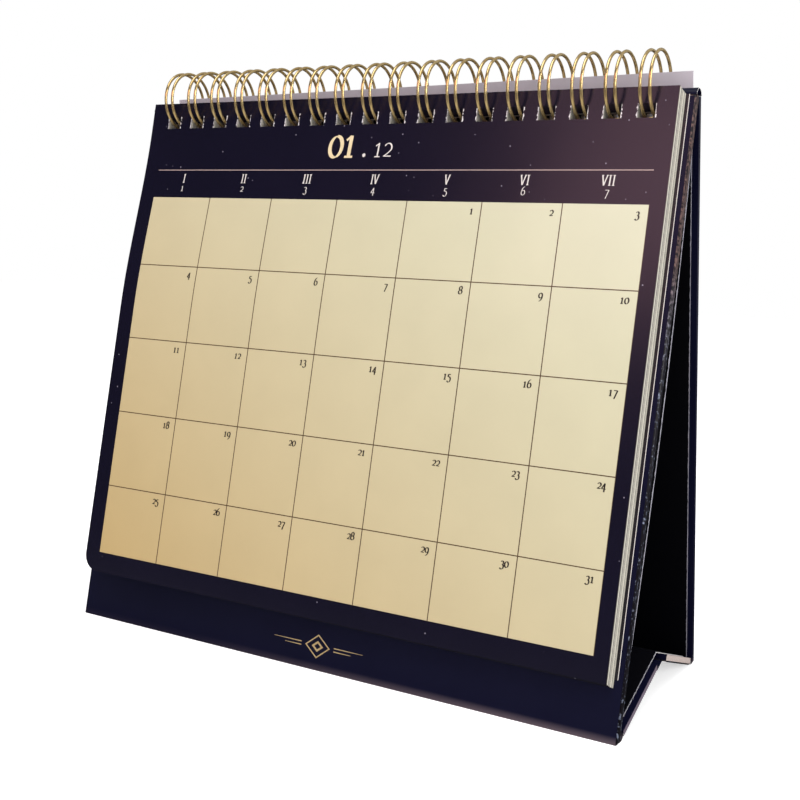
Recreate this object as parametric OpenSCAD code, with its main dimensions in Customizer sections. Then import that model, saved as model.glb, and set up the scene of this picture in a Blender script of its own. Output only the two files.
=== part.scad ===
// Flip calendar for a desk: leaves on a twin-loop wire, hung on a folding stand of covered board.
// X runs along the binding, Y to the back, Z up. The origin is on the desk, under the stand's top fold.

/* [Leaves] */
// Width of a month leaf
leaf_w = 200; // [150:1:240]
// Height of a month leaf
leaf_h = 173; // [140:1:210]
// Thickness of one leaf
leaf_t = 0.27; // [0.2:0.01:0.3]
// Air between two leaves that hang together
leaf_gap = 0.03; // [0.02:0.01:0.06]
// How much further right each month leaf is trimmed than the one in front of it
leaf_fan = 0.08; // [0:0.01:0.1]
// How far the backing leaf stands out past the month leaves at each side
backing_over = 2; // [0:0.5:3]
// How much higher the backing leaf ends than the front month leaf
backing_short = 1.1; // [0:0.1:2]
// Width of a punched hole
hole_w = 5.5; // [5:0.1:6.5]
// Height of a punched hole
hole_h = 4.3; // [3.8:0.1:5]
// Centre of the holes below the top edge of a leaf
hole_drop = 7.2; // [6.8:0.1:7.6]
// Leaf left plain at each end of the row of holes
end_margin = 9.9; // [8:0.1:14]

/* [Binding] */
// Distance from one loop of the wire to the next
loop_pitch = 10.6; // [9:0.1:14]
// Row of loops to the right of the middle of the leaves
loop_shift = 0.7; // [0:0.1:1]
// Thickness of the wire
wire_d = 1; // [0.8:0.05:1.1]
// Distance between the two wires of a loop
pair_gap = 3; // [2.6:0.1:3.2]
// Radius of a loop, at the middle of the wire
ring_r = 10.2; // [10:0.1:10.5]
// Centre of the loops above the top edge of the leaves
ring_rise = 2.1; // [1.9:0.1:2.3]
// Centre of the loops behind the front board's outer face
ring_in = 1.5; // [1.3:0.1:1.6]
// Bend radius where a loop turns into the link to the next
bend_r = 1; // [0.8:0.1:1.2]

/* [Stand] */
// How far the boards stand out past the month leaves at each side
board_over = 4; // [3:0.5:10]
// Front board left bare below the leaves, along the board
strip_h = 17.3; // [12:0.1:30]
// Top edge of the leaves above the top of the boards
leaf_rise = 1.3; // [1:0.1:1.6]
// Thickness of the grey board
board_t = 2; // [1.6:0.1:2.2]
// Thickness of the covering paper
wrap_t = 0.2; // [0.15:0.01:0.25]
// Thickness of the lining paper
lining_t = 0.2; // [0.15:0.01:0.25]
// Covering paper turned in over the edge of a board
turn_in = 14; // [10:0.5:18]
// Lining of the front board set back from its side edges
lining_side = 0.4; // [0.2:0.1:3]
// Lining of the other boards set back from their side edges
lining_inset = 2; // [0.5:0.1:4]
// Lining set back from the fold edges of a board
lining_end = 2.6; // [2:0.1:4]
// Lean of each board from upright, in degrees
lean = 11.2; // [10.5:0.1:12]
// Air between the back board and the links of the wire
link_clear = 0.43; // [0.35:0.01:0.6]

/* [Base] */
// Fold line of a base panel above the foot of its board, along the board
pivot_s = 2.8; // [2.7:0.1:4]
// Underside of the base's ridge above the desk
ridge_rise = 12.5; // [11:0.1:14]
// Base board set back from its fold line, so that the paper can fold
base_setback = 2; // [1.8:0.1:2.6]
// Base board set back from the ridge, so that the paper can fold
ridge_setback = 4.6; // [4.5:0.1:7]

/* [Cover leaf] */
// Middle of the turned cover leaf from the centre of the loops
cover_dist = 7.5; // [7.45:0.05:7.8]
// Edge of the cover leaf above its holes' centres
cover_margin = 9.4; // [8:0.1:10.4]
// How much steeper the turned cover leaf hangs than the back board, in degrees
cover_steeper = 1.5; // [1:0.05:1.6]
// How far out of level the turned cover leaf hangs on the wire, in degrees
cover_skew = 0.75; // [0:0.05:0.8]

/* [Hidden] */
$fn = 24;
month_leaves = 12;
leaf_pitch = leaf_t + leaf_gap;
panel_t = 2*wrap_t + board_t + lining_t;
board_w = leaf_w + 2*board_over;
board_h = strip_h + leaf_h - leaf_rise;
leaf_top = board_h + leaf_rise;
leaf_hole_s = leaf_top - hole_drop;
loops = floor((leaf_w - 2*end_margin)/loop_pitch + 0.001) + 1;

// The stand's top fold is where the inner faces of the two boards meet, at y = 0
stand_y = -(panel_t*cos(lean) + board_h*sin(lean));
fold_z = board_h*cos(lean) - panel_t*sin(lean);
tent = 2*lean;

// The loops' centre, in the front board's own frame and in the object's
ring_y = ring_in;
ring_s = leaf_top + ring_rise;
ring_wy = stand_y + ring_y*cos(lean) + ring_s*sin(lean);
ring_wz = ring_s*cos(lean) - ring_y*sin(lean);

// The same centre from the top of the back board's inner face, and the holes that the loops need in the boards
ring_by = (panel_t - ring_y)*cos(tent) - (ring_s - board_h)*sin(tent);
ring_bs = (panel_t - ring_y)*sin(tent) + (ring_s - board_h)*cos(tent);
front_hole_s = ring_s - sqrt(pow(ring_r, 2) - pow(ring_y - panel_t/2, 2));
back_hole_s = board_h + ring_bs - sqrt(pow(ring_r, 2) - pow(ring_by + panel_t/2, 2));

// Fold lines of the base, and the slope of its two panels
base_reach = board_h - pivot_s;
base_y = -base_reach*sin(lean);
base_z = fold_z - base_reach*cos(lean);
function slope_for(rise, k) = k == 0 ? atan2(rise, -base_y)
    : atan2(rise + panel_t/cos(slope_for(rise, k - 1)), -base_y);
base_slope = slope_for(ridge_rise - base_z, 8);
base_dir = 90 - base_slope;
base_len = (-base_y - panel_t*cos(base_dir))/sin(base_dir);
base_end = base_len - ridge_setback;

// Wire: angles run from straight down through the back and over the top
arc_n = 16;
sides = 6;
half_pair = pair_gap/2;
deg_mm = 180/(PI*ring_r);
link_a = 90 + tent - acos((panel_t + ring_by + wire_d/2 + link_clear)/ring_r);
tip_a = 90 + tent - acos((panel_t/2 + ring_by)/ring_r);
arc_a = link_a + bend_r*deg_mm;
arc_b = 360 + tip_a - half_pair*deg_mm;

function loop_x(i) = (i - (loops - 1)/2)*loop_pitch + loop_shift;

// Places of the pieces: along the front board, its mirror at the back, and the base panels
module on_front() {
    translate([0, stand_y, 0]) rotate([-lean, 0, 0]) children();
}

module on_back() {
    mirror([0, 1, 0]) on_front() children();
}

module on_base_front() {
    translate([0, base_y, base_z]) rotate([180 - base_dir, 0, 0]) translate([0, -panel_t, 0]) children();
}

module on_base_rear() {
    mirror([0, 1, 0]) on_base_front() children();
}

// Rectangular bar centred on x = 0, from y0 to y1 and from z0 to z1
module bar(w, y0, y1, z0, z1) {
    translate([-w/2, y0, z0]) cube([w, y1 - y0, z1 - z0]);
}

// Everything lower than a height above the desk
module below(z) {
    translate([-board_w, -board_h, z - board_h]) cube([2*board_w, 2*board_h, board_h]);
}

// Row of punched holes through a board or a leaf, between y0 and y1
module holes(y0, y1, s) {
    for (i = [0:loops - 1])
        translate([loop_x(i) - hole_w/2, y0, s - hole_h/2]) cube([hole_w, y1 - y0, hole_h]);
}

// Grey board of a panel from z0 to z1: its outer face looks to -y
module core(z0, z1) {
    bar(board_w - 2*wrap_t, wrap_t, wrap_t + board_t, z0 + wrap_t, z1 - wrap_t);
}

// Covering paper: outer face, four edges and the turn-in round the inner face
module wrap(z0, z1) {
    difference() {
        bar(board_w, 0, 2*wrap_t + board_t, z0, z1);
        bar(board_w - 2*turn_in, board_t, panel_t + 1, z0 + turn_in, z1 - turn_in);
    }
}

// Lining paper: a sheet over the turn-in, filled out where there is none
module lining(z0, z1, inset) {
    bar(board_w - 2*inset, 2*wrap_t + board_t, panel_t, z0 + lining_end, z1 - lining_end);
    bar(board_w - 2*turn_in, wrap_t + board_t, 2*wrap_t + board_t, z0 + turn_in, z1 - turn_in);
}

// Board of the stand, cut level at its foot
module stand_core(hole_s) {
    difference() {
        core(-2, board_h);
        holes(-1, panel_t + 1, hole_s);
    }
}

module stand_wrap(hole_s) {
    difference() {
        wrap(-2, board_h);
        holes(-1, panel_t + 1, hole_s);
    }
}

module stand_lining(hole_s, inset) {
    difference() {
        lining(0, board_h, inset);
        holes(-1, panel_t + 1, hole_s);
    }
}

// Strip of paper bent round a line along x, from angle a0 to a1 counted from +y to +z
module bent_strip(y, z, r, a0, a1, n) {
    rotate([90, 0, 90])
        linear_extrude(board_w, center = true)
            polygon(concat(
                [for (k = [0:n]) let(a = a0 + (a1 - a0)*k/n) [y + r*cos(a), z + r*sin(a)]],
                [for (k = [n:-1:0]) let(a = a0 + (a1 - a0)*k/n) [y + (r - wrap_t)*cos(a), z + (r - wrap_t)*sin(a)]]));
}

module front_board() {
    color([0.45, 0.42, 0.38]) difference() {
        on_front() stand_core(front_hole_s);
        below(wrap_t);
    }
}

module front_wrap() {
    color([0.05, 0.05, 0.06]) difference() {
        on_front() stand_wrap(front_hole_s);
        difference() {
            on_front() core(-2, board_h);
            below(wrap_t);
        }
        below(0);
    }
}

module front_lining() {
    color([0.03, 0.03, 0.03]) on_front() stand_lining(front_hole_s, lining_side);
}

// Covering paper between the two boards at the top fold
module spine_paper() {
    color([0.05, 0.05, 0.06]) on_front() bent_strip(panel_t, board_h, panel_t, 180, tent + 1, 12);
}

// Covering paper between the foot of a board and its base panel
fold_r = base_setback + wrap_t;
module foot_strip() {
    bent_strip(panel_t, pivot_s, fold_r, -90 - asin(lining_t/fold_r),
        90 - (base_dir - lean) - acos((base_setback - 0.05)/fold_r), 6);
}

module front_fold_paper() {
    color([0.05, 0.05, 0.06]) on_front() foot_strip();
}

module back_board() {
    color([0.45, 0.42, 0.38]) difference() {
        on_back() stand_core(back_hole_s);
        below(wrap_t);
    }
}

module back_wrap() {
    color([0.05, 0.05, 0.06]) difference() {
        on_back() stand_wrap(back_hole_s);
        difference() {
            on_back() core(-2, board_h);
            below(wrap_t);
        }
        below(0);
    }
}

module back_lining() {
    color([0.03, 0.03, 0.03]) on_back() stand_lining(back_hole_s, lining_inset);
}

module rear_fold_paper() {
    color([0.05, 0.05, 0.06]) on_back() foot_strip();
}

// Base panels: each starts near the foot of its board and rises to the ridge
module base_front_board() {
    color([0.45, 0.42, 0.38]) on_base_front() core(-base_end, -base_setback);
}

module base_front_wrap() {
    color([0.05, 0.05, 0.06]) on_base_front() difference() {
        wrap(-base_end, -base_setback);
        core(-base_end, -base_setback);
    }
}

module base_front_lining() {
    color([0.03, 0.03, 0.03]) on_base_front() lining(-base_end, -base_setback, lining_inset);
}

module base_rear_board() {
    color([0.45, 0.42, 0.38]) on_base_rear() core(-base_end, -base_setback);
}

module base_rear_wrap() {
    color([0.05, 0.05, 0.06]) on_base_rear() difference() {
        wrap(-base_end, -base_setback);
        core(-base_end, -base_setback);
    }
}

module base_rear_lining() {
    color([0.03, 0.03, 0.03]) on_base_rear() lining(-base_end, -base_setback, lining_inset);
}

// Covering paper over the ridge, between the two base panels
ridge_clear = 0.05;
module ridge_half(gap) {
    intersection() {
        on_base_front() bar(board_w, 0, wrap_t, -base_len - panel_t, -base_end - gap);
        translate([-board_w, -board_h, 0]) cube([2*board_w, board_h, board_h]);
    }
}

module ridge_paper() {
    color([0.05, 0.05, 0.06]) union() {
        ridge_half(0);
        mirror([0, 1, 0]) ridge_half(ridge_clear);
    }
}

// Twin-loop wire: one path on a cylinder, as pairs of x and angle
function root_left(x0, b) = [x0 - half_pair - bend_r*(1 - sin(b)), link_a + bend_r*(1 - cos(b))*deg_mm];
function root_right(x0, b) = [x0 + half_pair + bend_r*(1 - sin(b)), link_a + bend_r*(1 - cos(b))*deg_mm];
function loop_path(i) = let(x0 = loop_x(i)) concat(
    i > 0 ? [root_left(x0, 0), root_left(x0, 45)] : [],
    [for (k = [0:arc_n]) [x0 - half_pair, arc_a + (arc_b - arc_a)*k/arc_n]],
    [for (b = [45:45:135]) [x0 - half_pair*cos(b), arc_b + half_pair*sin(b)*deg_mm]],
    [for (k = [arc_n:-1:0]) [x0 + half_pair, arc_a + (arc_b - arc_a)*k/arc_n]],
    i < loops - 1 ? [root_right(x0, 45), root_right(x0, 0)] : []);
wire_path = [for (i = [0:loops - 1]) for (q = loop_path(i)) q];
wire_n = len(wire_path);
function wire_out(q) = [0, sin(q[1]), -cos(q[1])];
function wire_mid(q) = [q[0], ring_y, ring_s] + ring_r*wire_out(q);
wire_pts = [for (q = wire_path) wire_mid(q)];
function wire_dir(j) = let(d = wire_pts[min(j + 1, wire_n - 1)] - wire_pts[max(j - 1, 0)]) d/norm(d);
function wire_ring(j) = let(n = wire_out(wire_path[j]), b = cross(wire_dir(j), n), u = b/norm(b))
    [for (k = [0:sides - 1]) wire_pts[j] + wire_d/2*(cos(360*k/sides)*n + sin(360*k/sides)*u)];

// Least gap of the wire to itself, measured on the points of three loops next to each other
gap_n = min(wire_n, 3*(2*arc_n + 9));
wire_gap = min([for (i = [0:gap_n - 6]) for (j = [i + 4:gap_n - 1]) norm(wire_pts[i] - wire_pts[j])]) - wire_d;
echo(wire_gap_mm = wire_gap);

module binding_wire() {
    color([0.8, 0.66, 0.36]) on_front() polyhedron(
        points = [for (j = [0:wire_n - 1]) for (p = wire_ring(j)) p],
        faces = concat(
            [for (j = [0:wire_n - 2]) for (k = [0:sides - 1])
                [j*sides + k, j*sides + (k + 1)%sides, (j + 1)*sides + k]],
            [for (j = [0:wire_n - 2]) for (k = [0:sides - 1])
                [j*sides + (k + 1)%sides, (j + 1)*sides + (k + 1)%sides, (j + 1)*sides + k]],
            [for (k = [1:sides - 2]) [0, k + 1, k]],
            [for (k = [1:sides - 2]) let(e = (wire_n - 1)*sides) [e, e + k, e + k + 1]]));
}

// Leaf k from the front, counting the backing leaf as the last: each hangs as much lower as the wire is there
function leaf_y(k) = -(month_leaves + 2 - k)*leaf_pitch;
function wire_s(y) = ring_s - sqrt(pow(ring_r, 2) - pow(y - ring_y, 2));
function leaf_hang(k) = wire_s(leaf_y(1)) - wire_s(leaf_y(k));
module leaf(k, w, foot_s, aside = 0) {
    on_front() difference() {
        translate([aside, 0, 0]) bar(w, leaf_y(k), leaf_y(k) + leaf_t, foot_s, leaf_top - leaf_hang(k));
        holes(leaf_y(k) - 1, leaf_y(k) + 1, leaf_hole_s - leaf_hang(k));
    }
}

module month_leaf(k) {
    color([0.12, 0.1, 0.16]) leaf(k, leaf_w, strip_h - leaf_hang(k), leaf_fan*(k - 1));
}

module backing_leaf() {
    color([0.1, 0.09, 0.12]) leaf(month_leaves + 1, leaf_w + 2*backing_over, strip_h + backing_short);
}

// Cover leaf, turned over to the back of the stand
cover_hole_z = -sqrt(ring_r*ring_r - cover_dist*cover_dist);
module cover_leaf() {
    color([0.7, 0.68, 0.74]) on_front() translate([0, ring_y, ring_s]) rotate([tent - cover_steeper, 0, 0])
        translate([0, cover_dist, cover_hole_z]) rotate([0, -cover_skew, 0]) difference() {
            bar(leaf_w, -leaf_t/2, leaf_t/2, cover_margin - leaf_h, cover_margin);
            holes(-1, 1, 0);
        }
}

// Places that the record uses
echo(fold_z = fold_z, base_y = base_y, base_z = base_z, ring_wy = ring_wy, ring_wz = ring_wz);
echo(front_hole_s = front_hole_s, back_hole_s = back_hole_s, link_a = link_a, tip_a = tip_a, ring_by = ring_by);
echo(base_dir = base_dir, base_len = base_len, base_end = base_end, stand_y = stand_y, loops = loops);

front_board();
front_wrap();
front_lining();
spine_paper();
front_fold_paper();
binding_wire();
back_board();
back_wrap();
back_lining();
rear_fold_paper();
base_front_board();
base_front_wrap();
base_front_lining();
ridge_paper();
base_rear_board();
base_rear_wrap();
base_rear_lining();
cover_leaf();
backing_leaf();
month_leaf(1);  // leaf_01
month_leaf(2);  // leaf_02
month_leaf(3);  // leaf_03
month_leaf(4);  // leaf_04
month_leaf(5);  // leaf_05
month_leaf(6);  // leaf_06
month_leaf(7);  // leaf_07
month_leaf(8);  // leaf_08
month_leaf(9);  // leaf_09
month_leaf(10);  // leaf_10
month_leaf(11);  // leaf_11
month_leaf(12);  // leaf_12
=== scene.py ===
from math import acos, asin, atan2, cos, hypot, pi, radians, sin

import bmesh
import bpy
from mathutils import Matrix, Vector


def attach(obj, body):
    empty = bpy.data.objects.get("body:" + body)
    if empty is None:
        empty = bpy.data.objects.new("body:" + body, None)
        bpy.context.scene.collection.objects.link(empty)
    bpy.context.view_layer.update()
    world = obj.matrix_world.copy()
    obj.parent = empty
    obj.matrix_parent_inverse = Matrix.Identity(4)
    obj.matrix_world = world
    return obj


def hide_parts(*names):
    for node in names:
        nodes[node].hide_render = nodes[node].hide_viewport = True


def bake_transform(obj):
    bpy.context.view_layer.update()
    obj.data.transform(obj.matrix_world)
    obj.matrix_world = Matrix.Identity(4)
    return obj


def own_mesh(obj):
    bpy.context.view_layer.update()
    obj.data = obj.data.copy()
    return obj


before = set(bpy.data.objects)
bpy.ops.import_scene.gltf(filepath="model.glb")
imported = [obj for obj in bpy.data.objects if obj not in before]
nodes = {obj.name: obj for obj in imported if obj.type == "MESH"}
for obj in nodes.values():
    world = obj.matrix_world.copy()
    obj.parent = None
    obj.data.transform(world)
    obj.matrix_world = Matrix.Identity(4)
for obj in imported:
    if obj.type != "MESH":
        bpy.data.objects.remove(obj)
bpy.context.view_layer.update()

scene = bpy.context.scene
scene.view_settings.view_transform = "Standard"


# ---- Camera ----
# It stands to the right of the calendar, a little below the top of the leaves, and is turned and
# tilted so that an 800 x 800 picture frames the calendar as the photograph does.
picture_px = 800
focal_px = 1100
sensor_mm = 36
view_centre_px = (459.36, 406.57)
eye_mm = Vector((198.21, -324.41, 137.16))
eye_turn, eye_tip, eye_roll = radians(27.5624), radians(-7.9579), radians(2.1779)

camera = bpy.data.objects.new("camera", bpy.data.cameras.new("camera"))
camera.data.sensor_width = sensor_mm
camera.data.lens = focal_px / picture_px * sensor_mm
camera.data.shift_x = 0.5 - view_centre_px[0] / picture_px
camera.data.shift_y = view_centre_px[1] / picture_px - 0.5
camera.data.clip_start = 0.01
camera.matrix_world = (Matrix.Translation(eye_mm / 1000) @ Matrix.Rotation(eye_turn, 4, "Z")
                       @ Matrix.Rotation(pi / 2 + eye_tip, 4, "X") @ Matrix.Rotation(eye_roll, 4, "Z"))
scene.collection.objects.link(camera)
scene.camera = camera


# ---- Grey boards ----
# The stiff core of each of the four panels: 2 mm grey board, pressed from waste paper and cut to size.
# It shows in the punched holes and at the bare ends of the rear base panel.
def linear(code):
    channels = [int(code[i:i + 2], 16) / 255 for i in (1, 3, 5)]
    return [c / 12.92 if c <= 0.04045 else ((c + 0.055) / 1.055) ** 2.4 for c in channels] + [1]


def add(tree, kind, inputs=None, **settings):
    made = tree.nodes.new("ShaderNode" + kind)
    for name, value in settings.items():
        setattr(made, name, value)
    for name, value in (inputs or {}).items():
        if isinstance(value, bpy.types.NodeSocket):
            tree.links.new(value, made.inputs[name])
        else:
            made.inputs[name].default_value = value
    return made


def new_material(name):
    material = bpy.data.materials.new(name)
    material.use_nodes = True
    material.node_tree.nodes.clear()
    return material, material.node_tree


# Grey board: matt pressed pulp, a warm grey with pinkish and pale fibres about 0.8 mm long.
fibre_mm = 0.8
grey_board, tree = new_material("grey_board")
place = add(tree, "TexCoord")
fibres = add(tree, "TexNoise", {"Vector": place.outputs["Object"], "Scale": 1000 / fibre_mm, "Detail": 4})
pulp = add(tree, "MixRGB",
           {"Fac": fibres.outputs["Fac"], "Color1": linear("#8d7d78"), "Color2": linear("#cdbfb8")})
fuzz = add(tree, "Bump", {"Height": fibres.outputs["Fac"], "Strength": 0.4, "Distance": 0.0001})
surface = add(tree, "BsdfPrincipled",
              {"Base Color": pulp.outputs["Color"], "Roughness": 0.9, "IOR": 1.45,
               "Normal": fuzz.outputs["Normal"]})
add(tree, "OutputMaterial", {"Surface": surface.outputs["BSDF"]})

for name in ("front_board", "back_board", "base_front_board", "base_rear_board"):
    nodes[name].material_slots[0].material = grey_board


# ---- Covering paper of the four panels ----
# Black paper with a thin gloss film, glued over the outer face of each board and turned in round its
# edges, which are soft and a little rubbed, with painted sheen on the rubbed edges.
lean_deg, base_deg = 11.2, 70.1986
lean, base_turn = radians(lean_deg), radians(180 - base_deg)
board_w, board_h, panel_t, wrap_t = 208, 189, 2.6, 0.2
stand_y = -(panel_t * cos(lean) + board_h * sin(lean))
base_y, base_z = -36.1664, 2.24167
base_setback, base_end = 2, 32.9031
edge_round_mm = 0.55


def front_place(x, y, s):
    """Metres of a point in mm on the front panel: x along it, y in from its outer face, s up it."""
    return Vector((x, stand_y + y * cos(lean) + s * sin(lean), s * cos(lean) - y * sin(lean))) / 1000


def back_place(x, y, s):
    """The same point on the back panel, which mirrors the front one."""
    return front_place(x, y, s) * Vector((1, -1, 1))


def base_place(x, y, z):
    """Metres of a point in mm on the front base panel: y up from its underside, z back towards its fold."""
    y = y - panel_t
    return Vector((x, base_y + y * cos(base_turn) - z * sin(base_turn),
                   base_z + y * sin(base_turn) + z * cos(base_turn))) / 1000


def base_rear_place(x, y, z):
    return base_place(x, y, z) * Vector((1, -1, 1))


def new_piece(name, points, faces, materials, face_materials=None):
    """A mesh object from points in metres, with a material number for each face."""
    mesh = bpy.data.meshes.new(name)
    mesh.from_pydata([tuple(p) for p in points], [], faces)
    for material in materials:
        mesh.materials.append(material)
    if face_materials:
        mesh.polygons.foreach_set("material_index", face_materials)
    mesh.update()
    piece = bpy.data.objects.new(name, mesh)
    scene.collection.objects.link(piece)
    return piece


# Gloss-laminated paper: near black with a blue cast, a smooth film over a faint paper grain of 0.4 mm. Over
# the last 2.4 mm above the table it is painted brown-grey, more so to the right, as a painted reflection of
# the table.
grain_mm, table_sheen_mm = 0.4, 2.4
laminated_paper, tree = new_material("laminated_black_paper")
place = add(tree, "TexCoord")
tone = add(tree, "TexNoise", {"Vector": place.outputs["Object"], "Scale": 1000 / 25, "Detail": 3})
black = add(tree, "MixRGB",
            {"Fac": tone.outputs["Fac"], "Color1": linear("#0b0c23"), "Color2": linear("#11122b")})
height = add(tree, "SeparateXYZ", {"Vector": place.outputs["Object"]})
# Painted reflection of the table: brown-grey below 2.4 mm, more so to the right
low = add(tree, "MapRange",
          {"Value": height.outputs["Z"], "From Max": table_sheen_mm / 1000, "To Min": 0.9, "To Max": 0})
right = add(tree, "MapRange",
            {"Value": height.outputs["X"], "From Min": -0.05, "From Max": 0.07, "To Min": 0.1})
table_sheen = add(tree, "Math", {0: low.outputs["Result"], 1: right.outputs["Result"]}, operation="MULTIPLY")
with_table_sheen = add(tree, "MixRGB",
           {"Fac": table_sheen.outputs[0], "Color1": black.outputs["Color"], "Color2": linear("#61565d")})
grain = add(tree, "TexNoise", {"Vector": place.outputs["Object"], "Scale": 1000 / grain_mm, "Detail": 2})
relief = add(tree, "Bump", {"Height": grain.outputs["Fac"], "Strength": 0.12, "Distance": 0.00004})
handled = add(tree, "MapRange", {"Value": tone.outputs["Fac"], "To Min": 0.26, "To Max": 0.38})
surface = add(tree, "BsdfPrincipled",
              {"Base Color": with_table_sheen.outputs["Color"], "Roughness": handled.outputs["Result"], "IOR": 1.5,
               "Specular IOR Level": 0.12, "Normal": relief.outputs["Normal"]})
add(tree, "OutputMaterial", {"Surface": surface.outputs["BSDF"]})

# The same paper where it is rubbed on an edge, in patches of 1 mm, painted with its sheen: a brown painted
# reflection in the upper half, and lower down only pale blue-grey painted highlights.
rubbed_sheen_paper, tree = new_material("rubbed_black_paper_painted_sheen")
place = add(tree, "TexCoord")
height = add(tree, "SeparateXYZ", {"Vector": place.outputs["Object"]})
# Painted sheen by height: brown painted reflection above 0.1 m, pale blue-grey painted highlights below
high = add(tree, "MapRange", {"Value": height.outputs["Z"], "From Min": 0.1, "From Max": 0.135})
patches = add(tree, "TexNoise", {"Vector": place.outputs["Object"], "Scale": 1000 / 1, "Detail": 4})
rub_and_sheen = add(tree, "Math", {0: high.outputs["Result"], 1: 0.16, 2: patches.outputs["Fac"]},
            operation="MULTIPLY_ADD")
rub_and_sheen_mask = add(tree, "MapRange", {"Value": rub_and_sheen.outputs[0], "From Min": 0.57, "From Max": 0.76})
sheen_tint = add(tree, "MixRGB",
            {"Fac": high.outputs["Result"], "Color1": linear("#8791a8"), "Color2": linear("#644e4a")})
brown = add(tree, "MixRGB",
            {"Fac": rub_and_sheen_mask.outputs["Result"], "Color1": linear("#0f0c14"), "Color2": sheen_tint.outputs["Color"]})
surface = add(tree, "BsdfPrincipled",
              {"Base Color": brown.outputs["Color"], "Roughness": 0.42, "IOR": 1.5,
               "Specular IOR Level": 0.3})
add(tree, "OutputMaterial", {"Surface": surface.outputs["BSDF"]})

# The same paper painted purple-grey at the ends of the front base panel, in streaks of about 4 mm, as a
# painted grazing reflection.
end_sheen_paper, tree = new_material("black_paper_painted_end_sheen")
place = add(tree, "TexCoord")
streaks = add(tree, "TexNoise", {"Vector": place.outputs["Object"], "Scale": 1000 / 4, "Detail": 5})
purple = add(tree, "MixRGB",
             {"Fac": streaks.outputs["Fac"], "Color1": linear("#4d4047"), "Color2": linear("#85788a")})
surface = add(tree, "BsdfPrincipled", {"Base Color": purple.outputs["Color"], "Roughness": 0.5, "IOR": 1.5})
add(tree, "OutputMaterial", {"Surface": surface.outputs["BSDF"]})


def round_edges(name, source, is_soft, end_material):
    """A copy of a covering with its outer edges rounded and a material number for its ends."""
    solid = nodes[source].data
    bm = bmesh.new()
    corners = [bm.verts.new(v.co) for v in solid.vertices]
    for polygon in solid.polygons:
        bm.faces.new([corners[i] for i in polygon.vertices])
    bmesh.ops.remove_doubles(bm, verts=bm.verts[:], dist=1e-6)
    bmesh.ops.dissolve_limit(bm, angle_limit=radians(0.5), verts=bm.verts[:], edges=bm.edges[:])
    soft = [e for e in bm.edges if is_soft(e.verts[0].co * 1000, e.verts[1].co * 1000)]
    # The rounded edges take material 1, the rubbed paper with its painted sheen
    bmesh.ops.bevel(bm, geom=soft, offset=edge_round_mm / 1000, offset_type="OFFSET", segments=3, profile=0.5,
                    affect="EDGES", clamp_overlap=False, material=1)
    bm.normal_update()
    for face in bm.faces:
        face.smooth = face.material_index == 1
        if abs(face.normal.x) > 0.95 and abs(face.calc_center_median().x) > board_w / 2000 - 0.0001:
            face.material_index = end_material
    mesh = bpy.data.meshes.new(name)
    bm.to_mesh(mesh)
    bm.free()
    for material in (laminated_paper, rubbed_sheen_paper, grey_board, end_sheen_paper):
        mesh.materials.append(material)
    piece = bpy.data.objects.new(name, mesh)
    scene.collection.objects.link(piece)
    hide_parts(source)
    return piece


def planes_of(point, side):
    """Whether a point in mm lies on a stand panel's end, outer face and foot. The side is -1 at the back."""
    y = side * point.y - stand_y
    depth = y * cos(lean) - point.z * sin(lean)
    return abs(abs(point.x) - board_w / 2) < 0.01, abs(depth) < 0.01, abs(point.z) < 0.01


def base_planes_of(point, side):
    y, z = side * point.y - base_y, point.z - base_z
    depth = y * cos(base_turn) + z * sin(base_turn) + panel_t
    return abs(abs(point.x) - board_w / 2) < 0.01, abs(depth) < 0.01


def soft_edges(planes, side):
    def soft(a, b):
        a, b = planes(a, side), planes(b, side)
        return sum(p and q for p, q in zip(a, b)) == 2
    return soft


# The front base panel's ends take the paper painted with a grazing reflection; the front panel's ends take
# the rubbed paper with its painted sheen
for name, source, planes, side, body, end_material in (
        ("front_covering", "front_wrap", planes_of, 1, "stand_front", 1),
        ("back_covering", "back_wrap", planes_of, -1, "stand_back", 0),
        ("base_front_covering", "base_front_wrap", base_planes_of, 1, "base_front", 3),
        ("base_rear_covering", "base_rear_wrap", base_planes_of, -1, "base_rear", 2)):
    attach(round_edges(name, source, soft_edges(planes, side), end_material), body)


# ---- Covering paper across the folds ----
# The same sheet runs on over the top fold, under both feet and over the base's ridge, so it bends with
# the panels. Its cut ends show the white of the paper.
cut_paper, tree = new_material("cut_paper_edge")
place = add(tree, "TexCoord")
torn = add(tree, "TexNoise", {"Vector": place.outputs["Object"], "Scale": 1000 / 0.6, "Detail": 3})
white = add(tree, "MixRGB",
            {"Fac": torn.outputs["Fac"], "Color1": linear("#9c979a"), "Color2": linear("#f4f2ef")})
surface = add(tree, "BsdfPrincipled", {"Base Color": white.outputs["Color"], "Roughness": 0.85, "IOR": 1.45})
add(tree, "OutputMaterial", {"Surface": surface.outputs["BSDF"]})


def paper_strip(name, outer, inner, place_on, half_w=board_w / 2):
    """A strip of paper along the whole panel: outer and inner are the (y, s) points of its two faces."""
    count = len(outer)
    ring = outer + inner[::-1]
    points = [place_on(x, *q) for x in (-half_w, half_w) for q in ring]
    n = len(ring)
    faces = [(i, (i + 1) % n, n + (i + 1) % n, n + i) for i in range(n)]
    kinds = [0] * n
    for k in range(count - 1):
        a, b = k, n - 1 - k
        faces += [(a, b, b - 1, a + 1), (n + a, n + a + 1, n + b - 1, n + b)]
        kinds += [1, 1]
    strip = new_piece(name, points, faces, (laminated_paper, cut_paper), kinds)
    bm = bmesh.new()
    bm.from_mesh(strip.data)
    bmesh.ops.recalc_face_normals(bm, faces=bm.faces[:])
    bm.to_mesh(strip.data)
    bm.free()
    strip.data.shade_smooth()
    strip.data.set_sharp_from_angle(angle=radians(40))
    return strip


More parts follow.
